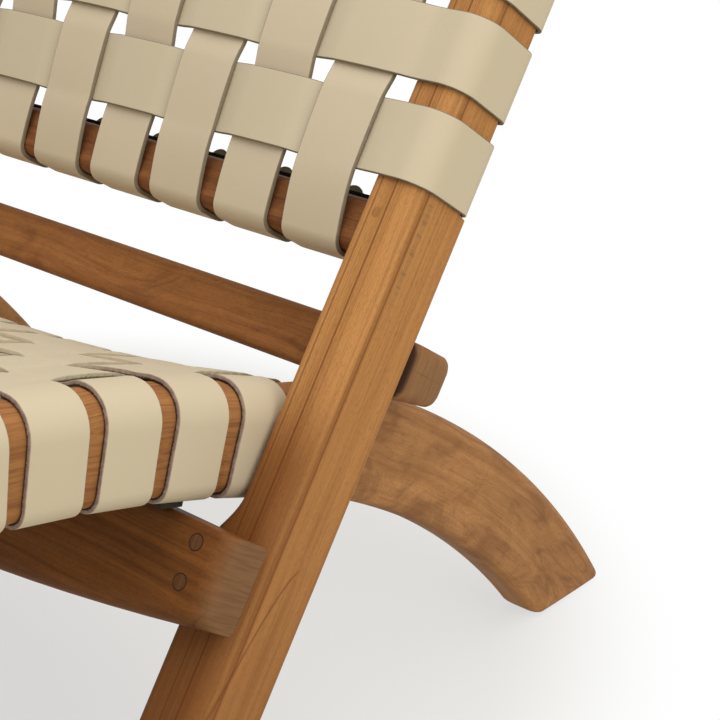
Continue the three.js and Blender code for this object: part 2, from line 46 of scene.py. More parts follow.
POST_TOP, POST_END_R, POST_FOOT_R, POST_MARGIN = 12.0, 8.0, 3.0, 12.0
RAIL_H, RAIL_D, RAIL_R, RAIL_MARGIN, RAIL_SET = 33.0, 30.0, 8.0, 12.0, 6.0
STRIP_T, STRIP_H, STRIP_PROUD = 2.0, 26.0, 11.0
STRETCHER_T, STRETCHER_END_H, STRETCHER_BELLY = 31.0, 53.0, 37.0
STRETCHER_R, STRETCHER_LOW_R, STRETCHER_END_R = 4.0, 10.0, 13.0
PIN_D, PIN_L, PIN_INSET, PIN_DROP, PIN_PITCH = 10.5, 65.0, 24.0, 11.0, 23.5
BAR_H, BAR_D, BAR_R, BAR_END_R = 33.0, 42.0, 7.0, 7.0
SIDE_W, LEG_D, LEG_EDGE_R, LEG_R = 32.0, 70.5, 9.0, 699.2
BEND_ANGLE, BEND_AT, BEND_L = math.radians(69), np.array([-63.4, 277.3]), 80.0
SEAT_D, SEAT_R, SEAT_EDGE_R, FOOT_R, NOSE_R = 62.0, 1041.0, 19.0, 6.0, 10.0
REAR_ROW_ANGLE, SEAT_MARGIN, SEAT_SET, SEAT_SAG = math.radians(69.98), 7.0, 0.3, 31.0
CROSS_D, CROSS_H, CROSS_R, CROSS_MARGIN, NOSE_L = 28.0, 26.0, 8.0, 8.0, 8.0
PAD_W, PAD_T, PAD_AHEAD, PAD_BEHIND = 14.0, 9.0, 14.0, 3.0

# Sizes that the solids lack or have otherwise
POST_FRONT_R, SWELL_L, BAR_TUCK = 15.0, 1.5, 16.0
PEG_D, PEG_INSET, PEG_DROP = 7.0, 21.0, 9.0
TACK_D, TACK_H, TACK_SUNK, TACK_OVER = 18.0, 4.5, 0.2, 1.0
CROWN = 0.35              # swell of a strap on each strap that it crosses
FLAT_SHARE = 0.82         # share of a crossing on which the strap lies flat
STRAP_EDGE_R, STRAP_WANDER = 0.55, 0.25
COLUMN_LEVEL = 16.0       # length that a back column stays level past its last row
PAST_EDGE = 1 / 12        # share of a gap by which a crossing reaches past a strap's edge
FOOT_LIFT, FOOT_FRONT_R, FOOT_REAR_R = 0.5, 8.0, 4.0
PAINTED_SEAT_SHADE = 0.6           # share of painted shade on the seat part of the side rails
STRIP_LOW, STRIP_HIGH, STRIP_EDGE_R = 2.0, 3.0, 0.7
TACK_OFF = 11.0           # tacks on both sides of a column's middle
PAD_LIFT, PAD_SOFT, PAD_END = 0.35, 0.04, 0.8  # the first two are shares of the pad
SIDES = (("left", 1), ("right", -1))

# Places that follow from the sizes
HALF_W = INNER_W / 2 + POST_W
WRAP = WRAP_FIT + STRAP_T / 2
LAYER = (STRAP_T + FIT) / 2
back_step = BACK_STRAP_W + BACK_STRAP_GAP
back_span = back_step * BACK_ROWS - BACK_STRAP_GAP
rail_front = -RAIL_SET - WRAP
rail_top = back_span + RAIL_MARGIN
post_top = rail_top + RAIL_H + POST_TOP
rail_lows = [-RAIL_MARGIN - RAIL_H, rail_top]
side_out = INNER_W / 2 - SLIDE_GAP - STRAP_T - WRAP_FIT
side_in = side_out - SIDE_W
bend_way = np.array([math.cos(BEND_ANGLE), math.sin(BEND_ANGLE)])
LEG_AXIS = BEND_AT - bend_way * LEG_R
SEAT_AXIS = LEG_AXIS + bend_way * (LEG_R - LEG_D - SEAT_R + SEAT_D)
seat_step = (SEAT_STRAP_W + SEAT_STRAP_GAP) / SEAT_R
cross_shift = (SEAT_STRAP_W / 2 + CROSS_MARGIN + CROSS_D / 2) / SEAT_R
rear_angle = REAR_ROW_ANGLE - cross_shift
front_angle = REAR_ROW_ANGLE + (SEAT_ROWS - 1) * seat_step + cross_shift
nose_angle = front_angle + (CROSS_D / 2 + STRAP_T + NOSE_L) / SEAT_R
cross_top = -SEAT_SET - WRAP
luck = np.random.default_rng(7)


def column_places(width, strap_w, gap):
    """Middles of the columns that a width takes, and the gap that they then have."""
    count = max(2, round((width + gap) / (strap_w + gap)))
    true_gap = (width - count * strap_w) / (count - 1)
    first = -width / 2 + strap_w / 2
    return np.array([first + i * (strap_w + true_gap) for i in range(count)]), true_gap


back_columns = column_places(INNER_W - 2 * POST_MARGIN, BACK_STRAP_W, BACK_STRAP_GAP)[0]
seat_columns, seat_gap = column_places(2 * (side_in - SEAT_MARGIN), SEAT_STRAP_W, SEAT_STRAP_GAP)

# The chair's shift along Y, which centres its outline in the frame
SHIFT = 100.9173


def on_back(x, up, front):
    """Points on the leaning back: up along the posts, and in front of their front."""
    x, up, front = np.broadcast_arrays(*(np.asarray(v, float) for v in (x, up, front)))
    return np.stack([x, SHIFT + up * math.sin(LEAN) - front * math.cos(LEAN),
                     WEAVE_HEIGHT + up * math.cos(LEAN) + front * math.sin(LEAN)], -1)


def on_arc(axis, angle, r):
    """Points in the side view, on circles round an axis."""
    angle, r = np.broadcast_arrays(np.asarray(angle, float), np.asarray(r, float))
    return np.stack([axis[0] + r * np.cos(angle), axis[1] + r * np.sin(angle)], -1)


def on_seat(angle, above, along=0.0):
    """Points in the side view, above the seat's arc, and from there along it."""
    angle, above, along = np.broadcast_arrays(
        *(np.asarray(v, float) for v in (angle, above, along)))
    way = np.stack([-np.sin(angle), np.cos(angle)], -1)
    return on_arc(SEAT_AXIS, angle, SEAT_R + above) + way * along[..., None]


def spread(x, p):
    """Points of the side view, placed at x on the chair."""
    x = np.broadcast_to(np.asarray(x, float), p.shape[:-1])
    return np.stack([x, p[..., 0] + SHIFT, p[..., 1]], -1)


def sag(x):
    """Height of the seat weave, which dips to its middle."""
    return -SEAT_SAG * (1 - (np.asarray(x, float) / side_in) ** 2)


def weave_lift(x, up):
    """Forward swell of the back weave."""
    crown = np.maximum(0, 1 - (2 * np.asarray(x, float) / INNER_W) ** 2)
    return BACK_BULGE * crown * np.sin(math.pi * np.clip(np.asarray(up, float) / back_span, 0, 1))


def seen_from_back(p):
    """A point of the side view as up and front on the back."""
    y, z = p[0], p[1] - WEAVE_HEIGHT
    return (y * math.sin(LEAN) + z * math.cos(LEAN), -y * math.cos(LEAN) + z * math.sin(LEAN))


def up_at_distance(axis, front, distance):
    """How far up the back a place in front of it has that distance from an axis."""
    return axis[0] + math.sqrt(distance ** 2 - (front - axis[1]) ** 2)


leg_axis_on_back = seen_from_back(LEG_AXIS)
bar_back = -POST_D - SWELL - FIT - BAR_D
bar_low, bar_front_low = (
    up_at_distance(leg_axis_on_back, front, LEG_R + SLIDE_GAP + BAR_R) - BAR_R
    for front in (bar_back + BAR_R, bar_back + BAR_D - BAR_R))
stretcher_front = FIT + STRETCHER_T
stretcher_top = STRETCHER_R + up_at_distance(
    leg_axis_on_back, stretcher_front - STRETCHER_R, LEG_R - LEG_D - PAD_T - STRETCHER_R)
pin_ups = [stretcher_top - PIN_DROP, stretcher_top - PIN_DROP - PIN_PITCH]


# Shader maths
class Value:
    """A socket that takes part in Python expressions."""

    def __init__(self, finish, socket):
        self.finish, self.socket = finish, socket

    def math(self, operation, *others):
        return self.finish.maths(operation, self, *others)

    def __add__(self, other): return self.math("ADD", other)
    def __radd__(self, other): return self.math("ADD", other)
    def __sub__(self, other): return self.math("SUBTRACT", other)
    def __rsub__(self, other): return self.finish.maths("SUBTRACT", other, self)
    def __mul__(self, other): return self.math("MULTIPLY", other)
    def __rmul__(self, other): return self.math("MULTIPLY", other)
    def __abs__(self): return self.math("ABSOLUTE")

    def between(self, low, high):
        return self.finish.node("ShaderNodeMapRange", {"interpolation_type": "SMOOTHSTEP"},
                                {"Value": self, "From Min": low, "From Max": high})


class Finish:
    """A material, or the world's light, under construction."""

    def __init__(self, name, world=None):
        self.material = world or bpy.data.materials.new(name)
        self.material.use_nodes = True
        self.tree = self.material.node_tree
        self.shader = self.find("BSDF_PRINCIPLED", "BACKGROUND")

    def find(self, *types):
        return next(n for n in self.tree.nodes if n.type in types)

    def node(self, kind, settings=None, sockets=None, output=0):
        made = self.tree.nodes.new(kind)
        for key, value in (settings or {}).items():
            setattr(made, key, value)
        for key, value in (sockets or {}).items():
            self.plug(made.inputs[key], value)
        return Value(self, made.outputs[output])

    def plug(self, socket, value):
        if isinstance(value, Value):
            self.tree.links.new(value.socket, socket)
        elif isinstance(value, (tuple, list)) and socket.type == "RGBA":
            socket.default_value = (*value[:3], 1)
        else:
            socket.default_value = value

    def set(self, **sockets):
        for key, value in sockets.items():
            self.plug(self.shader.inputs[key.replace("_", " ")], value)

    def maths(self, operation, *values):
        return self.node("ShaderNodeMath", {"operation": operation}, dict(enumerate(values)))

    def vector_maths(self, operation, *vectors, output=0):
        return self.node("ShaderNodeVectorMath", {"operation": operation}, dict(enumerate(vectors)),
                         output)

    def attribute(self, name, output):
        return self.node("ShaderNodeAttribute", {"attribute_name": name}, output=output)

    def spot(self):
        """Place on the piece, in metres."""
        return self.node("ShaderNodeTexCoord", output="Object")

    def one_of(self, vector, way):
        return self.node("ShaderNodeSeparateXYZ", {}, {0: vector}, way)

    def stretched(self, vector, scale):
        return self.vector_maths("MULTIPLY", vector, scale)

    def noise(self, vector, scale=1.0, detail=2.0, rough=0.5, warp=0.0):
        return self.node("ShaderNodeTexNoise", {}, {
            "Vector": vector, "Scale": scale, "Detail": detail, "Roughness": rough, "Distortion": warp})

    def mix(self, share, first, second):
        """A blend of two colours, which are sockets 6 and 7 of the node."""
        return self.node("ShaderNodeMix", {"data_type": "RGBA"}, {0: share, 6: first, 7: second},
                         output=2)

    def seen(self):
        """1 for what the camera sees, by itself or in a gloss."""
        kinds = ("Is Camera Ray", "Is Glossy Ray", "Is Transmission Ray")
        return sum(self.node("ShaderNodeLightPath", output=kind) for kind in kinds)

    def finish_with(self, share, shader):
        """Mixes another shader over the first one."""
        first = Value(self, self.shader.outputs[0])
        mixed = self.node("ShaderNodeMixShader", {}, {0: share, 1: first, 2: shader})
        self.plug(self.find("OUTPUT_MATERIAL", "OUTPUT_WORLD").inputs[0], mixed)

    def bump(self, height, strength, distance):
        return self.node("ShaderNodeBump", {}, {
            "Height": height, "Strength": strength, "Distance": distance})


PLAIN_CUT = ((0.26, 0.14, 0.07), (0.14, 0.07, 0.032))
# dark joints, and also painted shade on the rear bar's end
JOINT_AND_PAINTED_SHADE = (0.042, 0.017, 0.008)
FLECK_GREY = (0.150, 0.095, 0.055)
# colour of the painted shade on the low front of the posts
PAINTED_LOW_SHADE = (0.120, 0.030, 0.004)


def teak(name, pale, deep, dark, figure=0.006, veins=0.3, blots=0.0, rings="Y", cut=PLAIN_CUT,
         lines=(), low=None, flame=None, flecks=None, seat_streaked=False):
    """Oiled teak with fine fibre, in a pale and a deep brown with dark marks.

    figure curls the grain (m), and veins and blots are the strength of two kinds of dark marks. cut has
    the two colours of the end grain, which rings says to line along Y or Z of the section; on the seat
    part of the side rails they also give painted shade. The rest is for single pieces, in metres on the
    section. lines are streaks on the front and outer side: place round the section, half width and
    strength. low is the height below which painted shade darkens the wood, most of all on the front.
    flame is a pointed growth ring on the outer side: its top, its middle and its spread. flecks is a row
    of
    short dark ticks: its place round the section, and the heights where it fades out and starts. The
    last flag adds dark fibre streaks where the attribute end marks painted shade on the seat rails.
    """
    f = Finish(name)
    grain, section, end = (f.attribute(*of) for of in (
        ("grain", "Vector"), ("section", "Vector"), ("end", "Fac")))
    curl = (f.noise(f.stretched(grain, (5, 16, 16)), detail=2) - 0.5) * figure
    flow = f.vector_maths("ADD", grain, f.node("ShaderNodeCombineXYZ", {}, {1: curl, 2: curl * -0.7}))
    bands = f.noise(f.stretched(flow, (0.9, 120, 120)), detail=4, rough=0.6)
    fibre = f.noise(f.stretched(flow, (24, 1200, 1200)), detail=2, rough=0.6)
    pores = f.noise(f.stretched(flow, (300, 1900, 1900)), detail=2, rough=0.6).between(0.50, 0.68)
    cloud = f.noise(f.stretched(grain, (4, 15, 15)), detail=2)
    vein = 1 - abs(f.noise(f.stretched(flow, (0.7, 48, 48)), detail=1) - 0.5).between(0.0, 0.02)
    patch = f.noise(f.stretched(flow, (15, 27, 27)), detail=3, rough=0.6, warp=0.8)
    colour = f.mix(bands.between(0.28, 0.74), pale, deep)
    colour = f.mix(cloud.between(0.35, 0.75) * 0.22, colour, dark)
    colour = f.mix(patch.between(0.46, 0.70) * blots, colour, dark)
    contour = 1 - abs((patch * 11).math("FRACT") - 0.5).between(0.0, 0.13)
    colour = f.mix(contour * blots * 0.30, colour, dark)
    streak = f.noise(f.stretched(flow, (2.5, 420, 420)), detail=3, rough=0.65)
    colour = f.mix(streak.between(0.46, 0.74) * 0.30, colour, dark)
    colour = f.mix(fibre.between(0.42, 0.80) * 0.26, colour, dark)
    colour = f.mix(vein * cloud.between(0.40, 0.60) * veins, colour, dark)
    colour = f.mix(pores * 0.30, colour, dark)
    along, across, back = (f.one_of(section, way) for way in "XYZ")
    sway = (f.noise(f.stretched(section, (2.2, 1, 1)), detail=2) - 0.5) * 0.004
    girth = across - back + sway
    outward = across.between(0.004, 0.008)
    for place, half, strength in lines:
        line = 1 - abs(girth - place).between(half * 0.3, half)
        colour = f.mix(line * outward * (bands * 0.7 + 0.6) * strength, colour, dark)
    if flecks is not None:
        ticks = f.noise(f.stretched(section, (520, 30, 30)), detail=2).between(0.50, 0.62)
        row = (1 - abs(girth - flecks[0]).between(0.0012, 0.0036)) * outward
        span = along.between(flecks[1], flecks[1] + 0.03)
        span = span * (1 - along.between(flecks[2], flecks[2] + 0.004))
        colour = f.mix((ticks * 0.34 + 0.16) * row * span, colour, FLECK_GREY)
    # painted shade: darker below low on every face, and darkest on the front
    if low is not None:
        colour = f.mix((1 - along.between(low - 0.20, low + 0.04)) * 0.22, colour, dark)
        shade = (1 - along.between(low - 0.06, low)) * back.between(-0.014, -0.003)
        colour = f.mix(shade * 0.62, colour, PAINTED_LOW_SHADE)
    if flame is not None:
        below = flame[0] - along
        inward = back + sway - flame[1] - below.math("MAXIMUM", 0.0).math("SQRT") * flame[2]
        outer = across.between(0.029, 0.033) * below.between(0.0, 0.006)
        inside = (1 - inward.between(-0.012, 0.0)) * below.between(0.0, 0.06)
        colour = f.mix(inside * outer * 0.14, colour, dark)
        colour = f.mix((1 - abs(inward).between(0.0002, 0.0016)) * outer * 0.6, colour, dark)
    lined = f.stretched(grain, (8, 620, 36) if rings == "Y" else (8, 36, 620))
    late = f.noise(lined, detail=3).between(0.36, 0.66)
    # end grain; on the seat rails the same colours give painted shade
    colour = f.mix(end.math("MINIMUM", 1.0), colour, f.mix(late * 0.4 + cloud * 0.6, *cut))
    # dark fibre streaks, only where the seat rails carry painted shade
    if seat_streaked:
        seat_streaks = streak.between(0.44, 0.66) * 0.40 + fibre.between(0.45, 0.65) * 0.30
        colour = f.mix(seat_streaks * end.between(0.2, 0.6), colour, dark)
    # dark joints, and painted shade where the rear bar's end turns in towards the post
    colour = f.mix(end.between(1.2, 1.8), colour, JOINT_AND_PAINTED_SHADE)
    f.set(Base_Color=colour, Roughness=0.50 + fibre * 0.14, Specular_IOR_Level=0.12,
          Normal=f.bump(fibre * 0.5 - pores, 0.14, 0.0003))
    return f.material


def strap_leather(name):
    """Matt grain side of the straps: clouded putty, each strap a little different, with a fine grain."""
    f = Finish(name)
    tone = f.attribute("tone", "Fac")
    spot = f.spot()
    cloud = f.noise(spot, 9, 4, 0.55)
    grain = f.noise(spot, 900, 3, 0.6)
    cells = f.node("ShaderNodeTexVoronoi", {"feature": "DISTANCE_TO_EDGE"}, {
        "Vector": spot, "Scale": 620.0})
    specks = f.noise(spot, 260, 2).between(0.70, 0.78)
    colour = f.mix(tone, (0.576, 0.488, 0.331), (0.600, 0.485, 0.333))
    colour = f.mix(cloud.between(0.35, 0.7) * 0.4, colour, (0.545, 0.452, 0.304))
    colour = f.mix(specks * 0.10, colour, (0.44, 0.35, 0.23))
    colour = f.mix(grain * 0.08, colour, (0.46, 0.38, 0.26))
    f.set(Base_Color=colour, Roughness=0.52 + cloud * 0.14, Specular_IOR_Level=0.35,
          Normal=f.bump(cells.between(0.0, 0.3) * 0.7 + grain * 0.5, 0.10, 0.0003))
    return f.material


def cut_edge(name, brown, olive, fringe, turns):
    """Cut edge of a strap: olive in the weave and brown near the wood that it wraps, changing between
    the two distances of turns (m from the middle), with a dark fuzzy line towards the flesh side."""
    f = Finish(name)
    skin = f.attribute("skin", "Fac")
    spot = f.spot()
    fibre = f.noise(spot, 900, 3, 0.65)
    blot = f.noise(spot, 260, 3)
    side = abs(f.one_of(spot, "X")).between(*turns)
    colour = f.mix(side, olive, brown)
    colour = f.mix(blot.between(0.3, 0.7) * (side * 0.25 + 0.1), colour, fringe)
    fuzz = 1 - (skin + (fibre - 0.5) * 1.8).between(-0.55, -0.10)
    colour = f.mix(fuzz * (side * 0.9 + 0.1), colour, fringe)
    f.set(Base_Color=colour, Roughness=0.78 + fibre * 0.12, Normal=f.bump(fibre, 0.4, 0.0005))
    return f.material


def flesh_side(name):
    """Suede underside of the straps."""
    f = Finish(name)
    spot = f.spot()
    nap = f.noise(spot, 700, 4, 0.7)
    colour = f.mix(nap, (0.20, 0.155, 0.10), (0.33, 0.265, 0.18))
    f.set(Base_Color=colour, Roughness=0.92, Normal=f.bump(nap, 0.4, 0.0005))
    return f.material


def black_webbing(name):
    """Closely woven black tape."""
    f = Finish(name)
    spot = f.spot()
    weave = f.noise(f.stretched(spot, (900, 1400, 1400)), 1, 2)
    colour = f.mix(weave, (0.016, 0.016, 0.011), (0.048, 0.047, 0.032))
    f.set(Base_Color=colour, Roughness=0.8, Specular_IOR_Level=0.15, Normal=f.bump(weave, 0.5, 0.0005))
    return f.material


def bronze_with_painted_light(name):
    """Domed tack heads of bronze, given a paler olive than the metal as painted light, since they sit in
    shade.
    """
    f = Finish(name)
    spot = f.spot()
    patch = f.noise(spot, 320, 3)
    # painted light: both colours are paler than the bronze, for the light the heads miss in the shade of
    # the rails
    colour = f.mix(patch, (0.300, 0.290, 0.190), (0.460, 0.430, 0.300))
    f.set(Base_Color=colour, Roughness=0.42 + patch * 0.2, Metallic=0.2)
    return f.material


POST_TEAK = teak(
    "post teak", (0.545, 0.256, 0.079), (0.440, 0.195, 0.057), (0.150, 0.046, 0.012), veins=0.25,
    lines=((0.0080, 0.0009, 0.65), (0.0125, 0.0005, 0.25), (0.0188, 0.0010, 0.75),
           (0.0240, 0.0006, 0.30), (0.0455, 0.0042, 0.45), (0.0468, 0.0010, 0.55)),
    low=-0.120, flame=(-0.225, -0.038, 0.094), flecks=(0.0524, -0.085, -0.006))
# its end-grain colours also give the painted shade on the seat part of the rails
LEG_TEAK = teak(
    "leg teak", (0.525, 0.255, 0.092), (0.410, 0.187, 0.066), (0.160, 0.066, 0.026),
    figure=0.040, veins=0.30, blots=0.60,
    cut=((0.390, 0.160, 0.046), (0.260, 0.098, 0.027)), seat_streaked=True)
BAR_TEAK = teak(
    "bar teak", (0.430, 0.175, 0.051), (0.310, 0.118, 0.034), (0.110, 0.037, 0.011),
    figure=0.030, veins=0.35, blots=0.5, rings="Z",
    cut=((0.300, 0.152, 0.062), (0.180, 0.086, 0.034)))
STRETCHER_TEAK = teak(
    "stretcher teak", (0.250, 0.090, 0.021), (0.145, 0.049, 0.011), (0.045, 0.013, 0.003),
    figure=0.012, veins=0.5, blots=0.2, cut=((0.240, 0.118, 0.050), (0.125, 0.058, 0.024)))
RAIL_TEAK = teak(
    "rail teak", (0.340, 0.135, 0.046), (0.240, 0.090, 0.030), (0.080, 0.026, 0.009),
    figure=0.010, veins=0.5, blots=0.4, cut=((0.260, 0.110, 0.042), (0.160, 0.064, 0.025)))
PIN_TEAK = teak(
    "pin teak", (0.205, 0.074, 0.018), (0.145, 0.049, 0.011), (0.055, 0.016, 0.004),
    figure=0.012, veins=0.35, blots=0.2, cut=((0.170, 0.072, 0.027), (0.085, 0.034, 0.012)))
PEG_TEAK = teak(
    "peg teak", (0.340, 0.135, 0.046), (0.240, 0.090, 0.030), (0.080, 0.026, 0.009),
    figure=0.010, veins=0.5, blots=0.4, cut=((0.420, 0.188, 0.060), (0.270, 0.112, 0.034)))
LEATHER = strap_leather("strap leather")
BACK_EDGE = cut_edge(
    "back strap edge", brown=(0.240, 0.190, 0.122), olive=(0.240, 0.190, 0.122),
    fringe=(0.070, 0.052, 0.034), turns=(0.3, 0.4))
SEAT_EDGE = cut_edge(
    "seat strap edge", brown=(0.400, 0.275, 0.205), olive=(0.560, 0.470, 0.320),
    fringe=(0.028, 0.018, 0.012), turns=(0.25, 0.31))
COLUMN_EDGE = cut_edge(
    "seat column edge", brown=(0.480, 0.425, 0.285), olive=(0.570, 0.480, 0.325),
    fringe=(0.130, 0.110, 0.070), turns=(0.25, 0.31))
FLESH = flesh_side("strap flesh side")
WEBBING = black_webbing("black webbing")
PAINTED_LIGHT_BRONZE = bronze_with_painted_light("dark bronze")


# Meshes
def add(name, data):
    thing = bpy.data.objects.new(name, data)
    bpy.context.scene.collection.objects.link(thing)
    return thing


def put(name, points, faces, looks, body, nodes=(), look_of=None, vectors=None, numbers=None,
        sharp=40):
    """A piece of the chair, from points in millimetres, with vectors and numbers for its finish."""
    mesh = bpy.data.meshes.new(name)
    mesh.from_pydata((np.asarray(points) / 1000).tolist(), [], faces)
    for look in looks:
        mesh.materials.append(look)
    if look_of is not None:
        mesh.polygons.foreach_set("material_index", look_of)
    for kind, field, values in (("FLOAT_VECTOR", "vector", vectors), ("FLOAT", "value", numbers)):
        for key, data in (values or {}).items():
            data = np.asarray(data, np.float32).ravel()
            mesh.attributes.new(key, kind, "POINT").data.foreach_set(field, data)
    mesh.shade_smooth()
    mesh.set_sharp_from_angle(angle=math.radians(sharp))
    piece = add(name, mesh)
    piece.modifiers.new("even shading", "WEIGHTED_NORMAL").keep_sharp = True
    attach(piece, body)
    if nodes:
        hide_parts(*nodes)
    return piece


def skin_over(rings):
    """Points and outward faces of a closed skin over rings of equal length."""
    count, size = rings.shape[:2]
    here = np.arange(size)
    there = (here + 1) % size
    faces = []
    for k in range(count - 1):
        a, b = k * size, (k + 1) * size
        faces += np.stack([a + here, a + there, b + there, b + here], -1).tolist()
    faces += [here[::-1].tolist(), ((count - 1) * size + here).tolist()]
    points = rings.reshape(-1, 3)
    middle = points.mean(0)
    volume = 0.0
    for face in faces:
        p = points[face] - middle
        for i in range(1, len(face) - 1):
            volume += p[0] @ np.cross(p[i], p[i + 1])
    if volume < 0:
        faces = [f[::-1] for f in faces]
    return points, faces


def timber_at(run, p):
    """Place in the timber of a ring with section p, at a length along the grain."""
    return np.stack([np.broadcast_to(run, len(p)), p[:, 0], p[:, 1]], -1)


def wood(name, rings, timber, look, body, node, end=None):
    """A wooden piece. timber gives each point's place, with the grain along its first number, and end is
    1 for end grain and 2 for a dark joint; on the rear bar's end 2 is painted shade, and on the seat
    rails shares below 1 are painted shade. Each piece is cut from another stretch of timber."""
    points, faces = skin_over(np.array(rings))
    section = np.asarray(timber, float).reshape(-1, 3) / 1000
    grain = section + luck.uniform(-1, 1, 3) * (5, 0.03, 0.03)
    end = np.zeros(len(points)) if end is None else end
    put(name, points, faces, [look], body, [node] if node else [],
        vectors={"grain": grain, "section": section}, numbers={"end": end})


def arc(x, y, r, start, stop, steps):
    t = np.linspace(start, stop, steps + 1)
    return np.stack([x + r * np.cos(t), y + r * np.sin(t)], -1)


def round_rect(x0, x1, y0, y1, r, inset=0.0, first=None, steps=6, fill=0):
    """Outline with rounded corners. first is the radius of the corner at x1 and y1, where it differs,
    and fill the number of points along each flat."""
    q = math.pi / 2
    l, h, b, t = x0 + inset, x1 - inset, y0 + inset, y1 - inset
    edge = max(r - inset, r / 5)
    big = max((r if first is None else first) - inset, r / 5)
    corners = [
        arc(h - big, t - big, big, 0, q, steps + 2),
        arc(l + edge, t - edge, edge, q, 2 * q, steps),
        arc(l + edge, b + edge, edge, 2 * q, 3 * q, steps),
        arc(h - edge, b + edge, edge, 3 * q, 4 * q, steps)]
    flats = [np.linspace(a[-1], b[0], fill + 2)[1:-1]
             for a, b in zip(corners, corners[1:] + corners[:1])]
    return np.concatenate([part for pair in zip(corners, flats) for part in pair])


def corner(depth, r):
    """How far a rounded corner of radius r stays back at a depth."""
    return r - np.sqrt(r ** 2 - np.clip(r - depth, 0, r) ** 2)


def end_round(r, steps):
    """Depths below a piece's end, and how far its rounded edge stays in there."""
    t = np.linspace(0, math.pi / 2, steps + 1)
    return [(r * (1 - math.cos(a)), r * (1 - math.sin(a))) for a in t]


# Straps
def strap(name, path, width, place, edge_look, body, node, inner=1, warm=0.0):
    """A leather strap along a path in a plane, which place puts on the chair. inner says which side of
    the path is the flesh side, and warm how pink its putty is."""
    path = np.asarray(path, float)
    path = path[np.r_[True, np.linalg.norm(np.diff(path, axis=0), axis=1) > 1e-6]]
    step = np.gradient(path, axis=0)
    way = step / np.linalg.norm(step, axis=1)[:, None]
    side = np.stack([-way[:, 1], way[:, 0]], -1) * inner
    run = np.r_[0, np.cumsum(np.linalg.norm(np.diff(path, axis=0), axis=1))]
    half, thick, r = width / 2, STRAP_T / 2, STRAP_EDGE_R
    q = math.pi / 2
    flat = np.linspace(-half + r, half - r, 6)
    section = np.concatenate([
        np.stack([flat, np.full(6, thick)], -1), arc(half - r, thick - r, r, q, 0, 3)[1:],
        arc(half - r, r - thick, r, 0, -q, 3), np.stack([flat[::-1], np.full(6, -thick)], -1)[1:],
        arc(r - half, r - thick, r, -q, -2 * q, 3)[1:], arc(r - half, thick - r, r, 2 * q, q, 3)[:-1]])
    grain_side, edge, flesh = 0, 1, 2
    looks_round = [grain_side] * 5 + [edge] * 7 + [flesh] * 5 + [edge] * 7
    wander = STRAP_WANDER * np.sin(run / luck.uniform(60, 110) + luck.uniform(0, 6))
    rings = np.stack([place(path[:, 0] + side[:, 0] * t, path[:, 1] + side[:, 1] * t, w + wander)
                      for w, t in section], 1)
    points, faces = skin_over(rings)
    tone = np.full(len(points), warm + luck.uniform(0, 0.3))
    skin = np.tile(section[:, 1] / thick, len(path))
    put(name, points, faces, [LEATHER, edge_look, FLESH], body, [node],
        looks_round * (len(path) - 1) + [edge, edge], numbers={"tone": tone, "skin": skin}, sharp=70)


def ease(a, b, steps):
    """Smooth run between two points, level at both ends."""
    t = np.linspace(0, 1, steps + 1)[1:-1]
    s = t * t * (3 - 2 * t)
    return np.stack([a[0] + (b[0] - a[0]) * t, a[1] + (b[1] - a[1]) * s], -1)


def over_under(centres, half, level, dip=None):
    """Path over and under crossing straps: flat with a slight crown on each, eased between them."""
    half = half * FLAT_SHARE
    path = []
    for centre, (base, sign) in zip(centres, level):
        d = np.linspace(-half, half, 9)
        flat = np.stack([centre + d, base + sign * CROWN * (1 - (d / half) ** 2)], -1)
        if path:
            path.append(ease(path[-1][-1], flat[0], 11))
        path.append(flat)
    path = np.concatenate(path)
    if dip is not None:
        path[:, 1] += dip(path[:, 0])
    return path


def hook(start, x0, x1, y0, y1, r, far=None, late=0.0):
    """From the weave onto a rounded bar, round its far side, and back under it. A late strap stays level
    for that length and then runs taut to the bar's far corner."""
    far = r if far is None else far
    q = math.pi / 2
    low = arc(x1 - r, y0 + r, r + WRAP, 0, -q, 7)
    if late:
        level = start + (late, 0)
        reach = np.array([x1 - far, y1 - far]) - level
        span = np.linalg.norm(reach)
        lean = math.atan2(reach[1], reach[0]) + math.asin((far + WRAP) / span)
        turn = arc(x1 - far, y1 - far, far + WRAP, lean + q, 0, 11)
        t = np.linspace(0, 1, 15)[1:-1, None]
        onto = start * (1 - t) ** 2 + level * 2 * t * (1 - t) + turn[0] * t ** 2
    else:
        top = np.array([x0 + r, y1 + WRAP])
        turn = arc(x1 - far, y1 - far, far + WRAP, q, 0, 9)
        onto = np.concatenate([ease(start, top, 12), np.linspace(top, turn[0], 4)[:-1]])
    return np.concatenate([onto, turn, np.linspace(turn[-1], low[0], 5)[1:-1], low,
                           np.linspace(low[-1], [x0 + TAIL_INSET, y0 - WRAP], 3)[1:]])


def flip(path):
    return (path * (-1, 1))[::-1]


def both_hooks(weave, left, right):
    return np.concatenate([flip(hook(weave[0] * (-1, 1), *left)), weave, hook(weave[-1], *right)])


def levels(base, overs):
    """A path's height at each crossing, with 1 where it lies over the other strap and -1 where under."""
    return [(base + s * LAYER, s) for s in (1 if over else -1 for over in overs)]


def row_over(row, column, columns):
    """Whether a row lies over a column, in turns that start at the last column."""
    return (column + row + len(columns)) % 2 == 0


for row in range(BACK_ROWS):
    overs = [row_over(row, c, back_columns) for c in range(len(back_columns))]
    weave = over_under(back_columns, BACK_STRAP_W / 2, levels(WRAP, overs))
    post = (INNER_W / 2, HALF_W, -POST_D, 0, POST_R, POST_FRONT_R)
    middle = row * back_step + BACK_STRAP_W / 2
    strap(f"back_row_strap_{row + 1}", both_hooks(weave, post, post), BACK_STRAP_W,
          lambda x, front, w, m=middle: on_back(x, m + w, front + weave_lift(x, m + w)),
          BACK_EDGE, "back_frame", f"back_row_{row + 1}")

